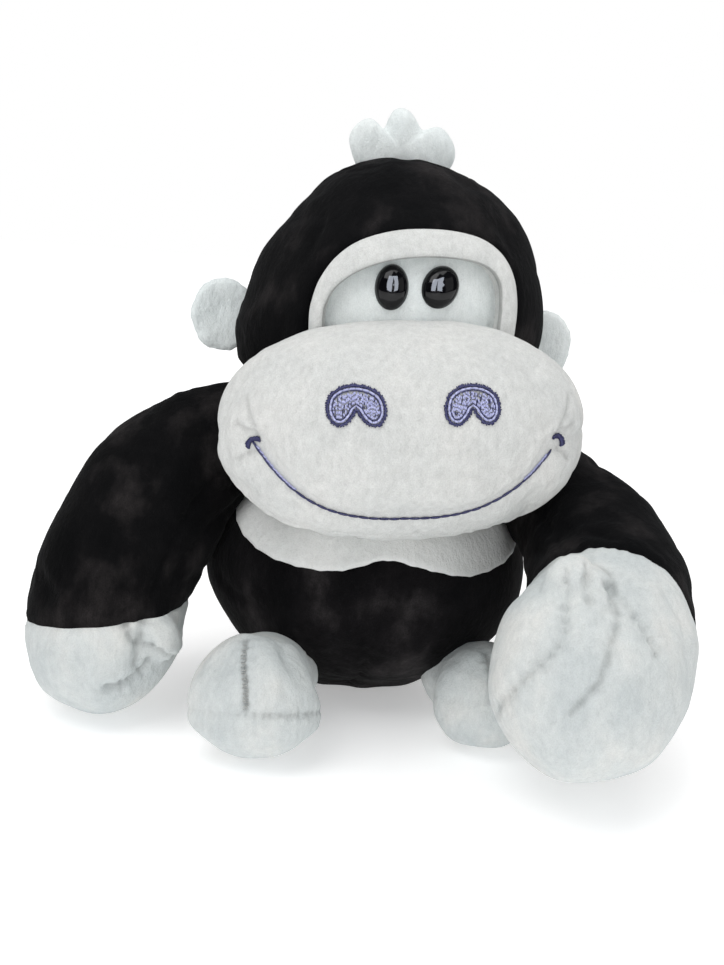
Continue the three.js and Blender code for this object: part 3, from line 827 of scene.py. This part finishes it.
def make_muzzle():
    points, faces = quad_sphere(38)
    flat = np.hypot(points[:, 0], points[:, 2])
    square = (np.abs(points[:, (0, 2)]) ** MUZZLE_SQUARE).sum(axis=1) ** (1 / MUZZLE_SQUARE)
    points[:, (0, 2)] *= (flat / np.maximum(square, 1e-6))[:, None]
    points = points * (np.array(MUZZLE["radii"]) - CLOTH_SLACK) + MUZZLE["centre"]
    obj = make_object("muzzle_plush", rolled(points), faces)
    under = ((-62, -50, 114), (-40, -66, 99), (0, -74, 94.5), (40, -66, 96), (62, -50, 108))
    mouth, under = settle(obj, mouth_path()), settle(obj, curve_through(under, 60))
    held = np.maximum(near(obj, mouth, 4), near(obj, under, 4))
    fill(obj, held, 0.025, (0.3, 26, 5))
    mouth, under = settle(obj, mouth), settle(obj, under)
    # The mouth, the seam underneath and the creases at the corners get painted shade in their narrow grooves.
    sew(obj, mouth, 1.7, 5.0)
    sew(obj, mouth, 1.2, 1.7, 0.15, 8)
    sew(obj, under, 1.1, 1.6, 0.3, 7, shade=0.12)
    for side in (-1, 1):
        cheek = ((side * 58, -62, 162), (side * 66, -62, 150), (side * 67, -60, 138), (side * 64, -60, 124))
        sew(obj, settle(obj, curve_through(cheek, 30)), 1.0, 3.0)
    for side, corner in ((-1, mouth[0]), (1, mouth[-1])):
        for lift, reach in ((4, 9), (-5, 8), (11, 7)):
            start = corner + (side * 1.5, 0, lift * 0.5)
            end = start + (side * reach * 0.7, reach * 0.7, lift)
            sew(obj, settle(obj, curve_through((start, (start + end) / 2, end), 12)), 1.1, 1.4, shade=0.17)
    dent(obj, CHEST, CHEST_CLEAR)
    return obj


def eye_matrix(side):
    roll = Vector((side * EYE["x"], 0, 0))
    roll.rotate(Matrix.Rotation(FACE_ROLL, 3, "Y"))
    x, z = EYE["mid"] + roll.x, EYE["z"] + roll.z
    point = np.array((x, float(front_y(HEAD, x, z, -PANEL_DEEP)), z))
    aim = Vector((0, -1, 0)).rotation_difference(Vector(head_normal(point)))
    tilt = Matrix.Rotation(math.radians(EYE["tilts"][side > 0]), 3, "Y")
    return point, np.array(aim.to_matrix() @ tilt)


def make_eye(name, side):
    """A domed oval safety eye with a rolled rim."""
    profile = curve_through(((0.001, 1.0), (0.35, 0.95), (0.66, 0.76), (0.86, 0.5), (0.96, 0.24), (1.0, 0.04),
                             (0.97, -0.12), (0.8, -0.2), (0.001, -0.2)), 40)
    angles = circle(64)
    half_x, half_z = EYE["halves"][side > 0]
    point, turn = eye_matrix(side)
    rings = [points_from(half_x * r * np.cos(angles), -h * EYE["dome"] - 0.4, half_z * r * np.sin(angles))
             @ turn.T + point for r, h in profile]
    return make_tube(name, rings)


# ---------------------------------------------------------------- embroidery
def stitches(name, paths, radius, sides=6):
    """One mesh of many short threads, each round-ended and following its own little path."""
    rings, faces = [], []
    angles = circle(sides)
    for path in paths:
        path = np.array(path, float)
        start = len(rings) * sides
        faces.extend([[index + start for index in face] for face in tube_faces(len(path), sides)])
        tangents = unit(np.gradient(path, axis=0))
        helper = np.array((0, 0, 1.0)) if abs(tangents[0][2]) < 0.8 else np.array((1.0, 0, 0))
        swell = np.sin(np.linspace(0.12, 1, len(path)) * math.pi * 0.96) ** 0.35
        for place, tangent, share in zip(path, tangents, swell):
            first = unit(np.cross(tangent, helper))
            second = np.cross(tangent, first)
            ring = np.outer(np.cos(angles), first) + np.outer(np.sin(angles), second)
            rings.append(place + radius * share * ring)
    return make_object(name, np.concatenate(rings), faces)


def nostril_outline(mid_x, grow=0.0, count=96):
    """A bean with its notch at the bottom."""
    z, w, h = NOSTRIL["z"], NOSTRIL["width"], NOSTRIL["height"]
    low = z - h / 2
    notch, top = (0, low + NOSTRIL["notch"]), (0, z + 0.5 * h)
    half = ((0.1 * w, low + 2.2), (0.24 * w, low + 0.1), (0.4 * w, low + 0.9), (0.49 * w, low + 4.6),
            (0.44 * w, z + 0.2 * h), (0.26 * w, z + 0.42 * h))
    other = [(-x, z) for x, z in reversed(half)]
    loop = curve_through((notch, *half, top, *other, notch), count + 1)[:-1]
    along = unit(np.roll(loop, -1, axis=0) - np.roll(loop, 1, axis=0))
    outward = points_from(along[:, 1], -along[:, 0])
    return loop + (mid_x, 0) + outward * grow, outward


def lay(surface, flat, lift):
    """Puts front-view points on the muzzle, `lift` above its cloth."""
    placed = []
    for x, z in flat:
        hit, normal = cast(surface, rolled((x, FAR_FRONT, z)), FRONT)
        placed.append(hit + normal * lift)
    return placed


def make_nostril(side, surface):
    """Satin stitch: a ragged navy edge, a lilac line inside it, a thin navy line, then a woven fill."""
    random = np.random.RandomState(40 + side)
    mid_x = NOSTRIL["mid"] + side * NOSTRIL["x"]
    dense, outward = nostril_outline(mid_x, 0, 190)
    border = []
    for spot, out in zip(dense, outward):
        reach = np.linspace(random.uniform(-0.1, 0.6), -random.uniform(0.65, 0.95), 4)
        border.append(lay(surface, [spot + out * step for step in reach], 0.35))
    inner, _ = nostril_outline(mid_x, -2.15, 96)
    light, dark = [], []
    for x in np.arange(mid_x - NOSTRIL["width"] / 2 + 1.6, mid_x + NOSTRIL["width"] / 2 - 1.2, 0.5):
        steps = NOSTRIL["z"] + np.arange(-NOSTRIL["height"] / 2, NOSTRIL["height"] / 2, 0.35)
        steps = steps[inside_loop(inner, np.full(len(steps), x), steps)]
        start = 0
        while start < len(steps) - 2:
            size = random.randint(3, 6)
            run = steps[start:start + size]
            if len(run) > 2 and run[-1] - run[0] < 0.36 * size:
                lean = random.uniform(-0.35, 0.35)
                flat = [(x + lean * k / len(run), z) for k, z in enumerate(run)]
                thread_runs = light if random.rand() < 0.78 else dark
                thread_runs.append(lay(surface, flat, 0.3 + random.uniform(0, 0.25)))
            start += size
    name = "right" if side < 0 else "left"
    return [
        (stitches(f"nostril_border_{name}", border, 0.27), NAVY, [f"nostril_{name}"]),
        (stitches(f"nostril_line_{name}", outline_runs(surface, mid_x, -1.35, 0.5), 0.44), LILAC, []),
        (stitches(f"nostril_ring_{name}", outline_runs(surface, mid_x, -1.95, 0.45), 0.24), NAVY, []),
        (stitches(f"nostril_fill_{name}", light, 0.36), LILAC, []),
        (stitches(f"nostril_shade_{name}", dark, 0.22), NAVY, []),
    ]


def outline_runs(surface, mid_x, grow, lift):
    """Short stitches end to end round the nostril's outline."""
    line, _ = nostril_outline(mid_x, grow, 120)
    return [lay(surface, [line[(start + step) % len(line)] for step in range(6)], lift)
            for start in range(0, len(line), 5)]


def make_mouth(surface):
    """A thin stitched line with a small cap of satin stitch across each end."""
    flat = rolled(mouth_path(150), -1)[:, (0, 2)]
    laid = np.array(lay(surface, flat, 0.3))
    runs = [laid[start:start + 6] for start in range(0, len(laid) - 5, 5)]
    random = np.random.RandomState(9)
    for end, after in ((flat[0], flat[4]), (flat[-1], flat[-5])):
        along = unit(end - after)
        across = np.array((along[1], -along[0]))
        for step in np.linspace(-1, 1, 13):
            root = end + across * step * 2.7 + along * (0.9 - 1.5 * step ** 2)
            reach = np.linspace(-0.9, random.uniform(0.6, 1.1), 4)
            aim = along + across * step * 0.5
            runs.append(lay(surface, [root + aim * size for size in reach], 0.45))
    return stitches("mouth_stitches", runs, 0.5)


def make_mouth_satin(surface):
    """The lilac satin stitch that shows at both ends of the mouth."""
    flat = rolled(mouth_path(300), -1)[:, (0, 2)]
    runs = []
    for start, stop in ((4, 38), (264, 288)):
        for index in range(start, stop, 3):
            step = unit(flat[index + 1] - flat[index - 1])
            across = np.array((-step[1], step[0]))
            runs.append(lay(surface, [flat[index] + step * size + across * (0.5 + 0.25 * size)
                                      for size in np.linspace(-0.7, 1.1, 4)], 0.35))
    return stitches("mouth_satin", runs, 0.34)


# ---------------------------------------------------------------- ears and tuft
def make_ear(name, side):
    points, faces = quad_sphere(22)
    rx, ry, rz = EAR["radii"]
    middle = np.array((side * EAR["x"], EAR["y"], EAR["z"][side > 0]))
    across = points[:, 0] ** 2 + points[:, 2] ** 2
    shaped = points * (rx, ry * 1.05, rz)
    front = points[:, 1] < 0
    shaped[front, 1] += 2.6 * np.clip(1 - across[front] / 0.75, 0, 1)
    shaped[:, 1] += 0.9 * points[:, 0] * side * points[:, 0]
    obj = make_object(name, shaped + middle, faces)
    subdivide(obj, 1)
    lump(obj, 0.25, 11, 20 + side)
    turn = np.linspace(0, 2 * math.pi, 60)
    rim = points_from(np.cos(turn) * rx * 0.99, 0.6, np.sin(turn) * rz * 0.99)
    sew(obj, rim + middle, 0.5, 1.2, 0.12, 5)
    return obj


def make_tuft():
    """Three rounded lobes in one pillow, a little flatter between them."""
    loop = curve_through(TUFT_EDGE, 110)
    loop = np.concatenate([loop, np.linspace(loop[-1], loop[0], 26)[1:-1]])
    heart = np.array((0, 243.0))
    reach = np.linalg.norm(loop - heart, axis=1)
    valley = np.clip((reach - 4) / 13, 0.8, 1)
    valley = sum(np.roll(valley, shift) for shift in range(-4, 5)) / 9
    shares = np.cos(np.linspace(0.0, 0.49, 14) * math.pi)
    rows = []
    for face in (1, -1):
        for share in (shares[::-1] if face > 0 else shares):
            ring = heart + (loop - heart) * share ** 0.8
            puff = TUFT["thick"] * math.sqrt(max(0, 1 - share ** 2)) * (1 - share ** 2 * (1 - valley)) + 0.35
            rows.append(points_from(ring[:, 0], TUFT["y"] + face * puff, ring[:, 1]))
    obj = make_tube("tuft_plush", rows)
    relax(obj, 9)
    lump(obj, 0.3, 12, 31)
    return obj


# ---------------------------------------------------------------- arms and legs
def split(obj, point, normal, name):
    """Cuts a piece in two closed ones; the returned one is on the far side from the normal."""
    second = add_object(name, obj.data.copy())
    for half, keep_above in ((obj, True), (second, False)):
        mesh = bmesh.new()
        mesh.from_mesh(half.data)
        cut = bmesh.ops.bisect_plane(
            mesh, geom=mesh.verts[:] + mesh.edges[:] + mesh.faces[:], plane_co=Vector(to_frame(point)),
            plane_no=Vector(normal), clear_inner=keep_above, clear_outer=not keep_above)
        edges = [item for item in cut["geom_cut"] if isinstance(item, bmesh.types.BMEdge)]
        bmesh.ops.triangle_fill(mesh, use_beauty=True, edges=edges, normal=Vector(normal))
        bmesh.ops.recalc_face_normals(mesh, faces=mesh.faces[:])
        mesh.to_mesh(half.data)
        mesh.free()
    return second


def plane_distance(obj, point, normal):
    """How far the piece's points are in front of a plane."""
    return (read_points(obj) - np.array(point)) @ unit(np.array(normal, float))


def make_arm(name, side):
    arm = ARMS[name]
    thumb = arm["thumb"]
    points, faces = egg(thumb, -0.5, 12)
    points = turned(points, np.array(thumb["centre"]), "Y", math.radians(thumb["tilt"]))
    root = np.array(arm["points"][0])
    obj = fuse(f"sleeve_{name}", [limb_tube(slack(arm)), ball(root, SHOULDER_ROOT), (points, faces)], 2.8, 3)
    point, normal = arm["cuff"]
    inner = settle(obj, inner_seam(arm, side))
    seams = [settle(obj, curve_through(path, 50)) for path in HAND_SEAMS[name]]
    at_cuff = bell(plane_distance(obj, point, normal), 5)
    at_root = np.clip(1.5 - np.linalg.norm(read_points(obj) - root, axis=1) / 26, 0, 1)
    at_seams = [near(obj, path, 5) for path in (inner, *seams)]
    fill(obj, np.maximum.reduce([at_cuff, at_root, *at_seams]), 0.025, (0.5, 30, 50 + side), FLOOR_GAP)
    sew(obj, inner, 1.0, 1.8, 0.3, 10)
    # Seams and creases on the hand, with painted shade in their grooves.
    for path in seams:
        sew(obj, settle(obj, path), 2.0, 1.8, 0.45, 5, shade=0.26 if name == "right" else 0.1)
    for fold in ARMPIT_FOLDS[name]:
        sew(obj, front_path(obj, fold, 30), 1.3, 2.6)
    points = read_points(obj)
    gap = plane_distance(obj, point, normal)
    spin = np.arctan2(points[:, 0] - point[0], points[:, 1] - point[1])
    push(obj, -bell(gap, 1.7) - 0.25 * np.cos(spin * 17) * bell(gap, 6))
    sit_flat(obj, FLOOR_GAP)
    hand = split(obj, point, normal, f"hand_plush_{name}")
    return obj, hand


def slack(limb):
    """The limb a little thinner, as it is before its cloth is filled."""
    thinner = dict(limb)
    for key in ("widths", "depths"):
        thinner[key] = [size - CLOTH_SLACK for size in limb[key]]
    return thinner


def inner_seam(arm, side):
    """The seam along the inside of a sleeve."""
    path = curve_through(arm["points"], 70)[14:56]
    reach = np.interp(np.linspace(0.2, 0.8, len(path)), np.linspace(0, 1, len(arm["widths"])), arm["widths"])
    return path + points_from(-side * reach * 0.45, -reach * 0.9, 0)


def make_leg(name, side):
    leg = LEGS[name]
    obj = fuse(f"foot_plush_{name}", [limb_tube(slack(leg)), ball(leg["points"][0], HIP_ROOT)], 2.4, 5)
    points = read_points(obj)
    forward = np.clip((-42 - points[:, 1]) / 25, 0, 1)
    toe_x, toe_y, toe_z = leg["points"][-1]
    spread = TOE_SPREAD * forward * np.clip((toe_z - points[:, 2]) / 20, -1, 0.5)
    points[:, 0] += (points[:, 0] - toe_x) * spread
    points[:, 2] += TOE_LIFT * forward
    write_points(obj, points)
    seam_point, seam_normal = (toe_x, toe_y, 30), (0, 16, 50)
    front = front_path(obj, ((toe_x - 2.5, 55), (toe_x - 3.5, 48), (toe_x - 2.5, 40), (toe_x - 2, 31)))
    held = bell(plane_distance(obj, seam_point, seam_normal), 4)
    stuff(obj, np.maximum(held, near(obj, front, 4)), 0.03)
    if name == "left":
        press_under(obj, ARMS["left"], 1.5)
    sit_flat(obj, FLOOR_GAP)
    subdivide(obj, 1)
    lump(obj, 0.4, 22, 60 + side)
    points = read_points(obj)
    gap = plane_distance(obj, seam_point, seam_normal)
    inner = 0.15 + 0.85 / (1 + np.exp(-(points[:, 0] - toe_x + 2) * 0.4))
    depth, shade = (0.75, 0.4) if name == "right" else (0.3, 0.2)
    pucker = 0.4 * np.cos(points[:, 0] * 1.9 + 2 * np.sin(points[:, 0] * 0.5))
    push(obj, -depth * bell(gap, 1.3) - pucker * inner * bell(gap, 3))
    # Painted shade along the groove of the sole's seam, in broken patches.
    broken = 0.6 + 0.4 * np.cos(points[:, 0] * 2.6 + 2 * np.sin(points[:, 0] * 0.7))
    mark_painted_shade(obj, shade * broken * inner * bell(gap, 1.2))
    front = settle(obj, front)
    sew(obj, front, 1.4, 1.4, 0.3, 4.5, shade=0.34)
    sit_flat(obj, FLOOR_GAP)
    return obj, front


def press_under(obj, limb, clearance):
    """Presses the piece out of the way of a limb lying on it."""
    path = curve_through(limb["points"], 60)
    places = np.linspace(0, 1, len(limb["widths"]))
    radii = np.interp(np.linspace(0, 1, 60), places, limb["depths"]) + clearance
    points = read_points(obj)
    for spot, radius in zip(path[20:54], radii[20:54]):
        out = points - spot
        size = np.linalg.norm(out, axis=1)
        inside = size < radius
        points[inside] = spot + out[inside] * (radius / size[inside])[:, None]
    write_points(obj, points)


def give_way(obj, surface, clearance=1.0):
    """Presses the cloth in where the turning head would run into it."""
    points = read_points(obj)
    pivot = np.array(NECK, float)
    for angle in np.radians((-1, 1, -0.5, 0.5, 0, -1, 1)) * NECK_TURN:
        seen = to_frame(turned(points, pivot, "Z", -angle))
        moves = np.zeros_like(points)
        for index in np.flatnonzero(np.linalg.norm(seen - to_frame(MUZZLE["centre"]), axis=1) < 0.075):
            hit, normal, _, _ = surface.find_nearest(Vector(seen[index]))
            short = clearance - (Vector(seen[index]) - hit).dot(normal) * 1000
            if 0 < short < 12:
                moves[index] = np.array(normal) * short
        points += turned(moves, np.zeros(3), "Z", angle)
    write_points(obj, points)


def make_ladder(name, seam, surface):
    """Hand stitches that close a seam: short threads across it, each slanting the other way."""
    runs = []
    for index in range(2, len(seam) - 2, 2):
        along = unit(seam[index + 1] - seam[index - 1])
        across = unit(np.cross(along, (0, 1, 0)))
        slant = 0.35 if index % 4 else -0.35
        ends = [seam[index] + across * step * 0.75 + along * step * slant for step in (-1, -0.4, 0.4, 1)]
        spots = [surface.find_nearest(Vector(spot)) for spot in to_frame(ends)]
        runs.append([to_drawing(spot) + np.array(normal) * 0.15 for spot, normal, _, _ in spots])
    return stitches(name, runs, 0.16)


# ---------------------------------------------------------------- assembly
torso = make_torso()
finish(torso, BODY_BLACK, ["torso_shell", "torso_stuffing"], "torso")
finish(make_chest(torso), CHEST_LIT_PALE, ["chest_patch"], "torso")
finish(make_neck(), BLACK, ["neck_stuffing"],
       bend=("neck", "head", (0, 12, 132), (0, 12, 150)))

finish(make_hood(), BLACK, ["head_shell", "head_stuffing"], "head")
finish(make_brow(), PALE, ["brow_band"], "head")
finish(make_face_panel(), ICE, ["eye_panel"], "head")
muzzle = make_muzzle()
finish(muzzle, PALE, ["muzzle_shell", "muzzle_stuffing"], "head")
muzzle_surface = surface_of(muzzle)
finish(make_mouth(muzzle_surface), NAVY, ["mouth_line"], body="head")
finish(make_mouth_satin(muzzle_surface), LILAC, [], body="head")

tuft_root = np.array((0, TUFT["y"], TUFT["z"]))
finish(make_tuft(), ICE, ["hair_tuft"],
       bend=("head", "tuft", tuft_root - (0, 0, 3), tuft_root + (0, 0, 5)))

for name, side in SIDES.items():
    finish(make_eye(f"safety_eye_{name}", side), EYE_PLASTIC,
           [f"eye_{name}", f"eye_washer_{name}"], body="head")
    for obj, material, replaced in make_nostril(side, muzzle_surface):
        finish(obj, material, replaced, body="head")
    root = np.array((side * 65.5, EAR["y"], EAR["z"][side > 0]))
    finish(make_ear(f"ear_plush_{name}", side), ICE, [f"ear_{name}"],
           bend=("head", f"ear_flap_{name}", root - (side * 3, 0, 0), root + (side * 5, 0, 0)))
    sleeve, hand = make_arm(name, side)
    give_way(sleeve, muzzle_surface)
    pivot = np.array(ARMS[name]["points"][0], float)
    finish(sleeve, BLACK, [f"arm_sleeve_{name}", f"arm_stuffing_{name}"],
           bend=("torso", f"arm_{name}", pivot + (side * 2, 0, 0), pivot + (side * 36, -4, -14)))
    finish(hand, HAND_PALE, [f"hand_{name}", f"thumb_{name}"], f"arm_{name}")
    hip = np.array(LEGS[name]["points"][0], float)
    foot, front = make_leg(name, side)
    finish(foot, HAND_PALE, [f"foot_upper_{name}", f"foot_sole_{name}", f"leg_stuffing_{name}"],
           bend=("torso", f"leg_{name}", hip + (0, 4, 0), hip + (0, -14, 0)))
    ladder = make_ladder(f"foot_stitches_{name}", front, surface_of(foot))
    finish(ladder, SEAM, [], body=f"leg_{name}")


# ---------------------------------------------------------------- floor, light and camera
def make_floor():
    mesh = bpy.data.meshes.new("floor")
    mesh.from_pydata([(-9, -9, 0), (9, -9, 0), (9, 9, 0), (-9, 9, 0)], [], [(0, 1, 2, 3)])
    floor = add_object("floor", mesh)
    material, tree, shader, place = new_material("pale_floor")
    paper = ramp(tree, noise(tree, place, 6, 2), ((0.3, (0.93, 0.93, 0.93)), (0.7, (0.96, 0.96, 0.96))))
    tree.links.new(paper, shader.inputs["Base Color"])
    set_inputs(shader, roughness=0.9, emission_color=(1, 1, 1, 1))
    away = node(tree, "ShaderNodeVectorMath", {"Vector": place}, operation="LENGTH")
    glow = node(tree, "ShaderNodeMapRange", {"Value": away.outputs["Value"]})
    set_inputs(glow, from_min=0.25, from_max=1.1, to_min=0.36, to_max=0.8)
    tree.links.new(glow.outputs[0], shader.inputs["Emission Strength"])
    mesh.materials.append(material)
    floor.location.z = min(0.0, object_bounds()[0][2])


def add_light(name, place, target, size, power, colour=(1, 1, 1), gloss_height=None):
    """A square softbox or, with gloss_height, a tall window pane that only shows in gloss."""
    light = bpy.data.lights.new(name, "AREA")
    light.size = size
    light.energy = power
    light.color = colour
    obj = add_object(name, light)
    obj.location = place
    obj.rotation_euler = (Vector(target) - Vector(place)).to_track_quat("-Z", "Y").to_euler()
    if gloss_height:
        light.shape = "RECTANGLE"
        light.size_y = gloss_height
        obj.visible_diffuse = False


def add_camera():
    """The photograph's point of view."""
    azimuth, elevation, roll = np.radians((-8, 12.5, 4.6))
    distance = 0.46
    turn = Matrix.Rotation(azimuth, 4, "Z") @ Matrix.Rotation(math.pi / 2 - elevation, 4, "X")
    target = Matrix.Translation((-0.008, -0.0336, 0.1046))
    camera = bpy.data.cameras.new("camera")
    camera.lens = 40.0
    camera.sensor_width = camera.sensor_height = 36
    camera.sensor_fit = "VERTICAL"
    camera.clip_start = 0.01
    obj = add_object("camera", camera)
    obj.matrix_world = target @ turn @ Matrix.Translation((0, 0, distance)) @ Matrix.Rotation(roll, 4, "Z")
    bpy.context.scene.camera = obj


def make_sky():
    """White to the camera, dimmer as a light, and not seen in gloss."""
    world = bpy.data.worlds.new("studio")
    world.use_nodes = True
    tree = world.node_tree
    light_path = tree.nodes.new("ShaderNodeLightPath")
    strength = node(tree, "ShaderNodeMapRange", {"Value": light_path.outputs["Is Camera Ray"]})
    set_inputs(strength, to_min=0.43, to_max=1.0)
    background = tree.nodes["Background"]
    set_inputs(background, color=(1, 1, 1, 1))
    tree.links.new(strength.outputs[0], background.inputs["Strength"])
    bpy.context.scene.world = world
    world.cycles_visibility.glossy = False


make_floor()
make_sky()
bpy.context.scene.view_settings.view_transform = "Standard"
add_light("key", (-0.45, -0.5, 1.1), (0, -0.03, 0.12), 0.7, 5.0)
add_light("fill", (0.9, -0.7, 0.6), (0, -0.03, 0.1), 0.8, 1.0)
add_light("front", (-0.1, -1.1, 0.35), (0, -0.03, 0.1), 0.8, 0.9)
add_light("top", (0.1, -0.05, 1.2), (0, 0, 0.15), 0.8, 4.4)
for pane in (-1, 1):
    add_light(f"window_{pane}", (-0.02 + pane * 0.14, -0.55, 0.46), (0, -0.08, 0.19), 0.24, 5.5,
              (0.82, 0.88, 1), 0.44)
add_camera()
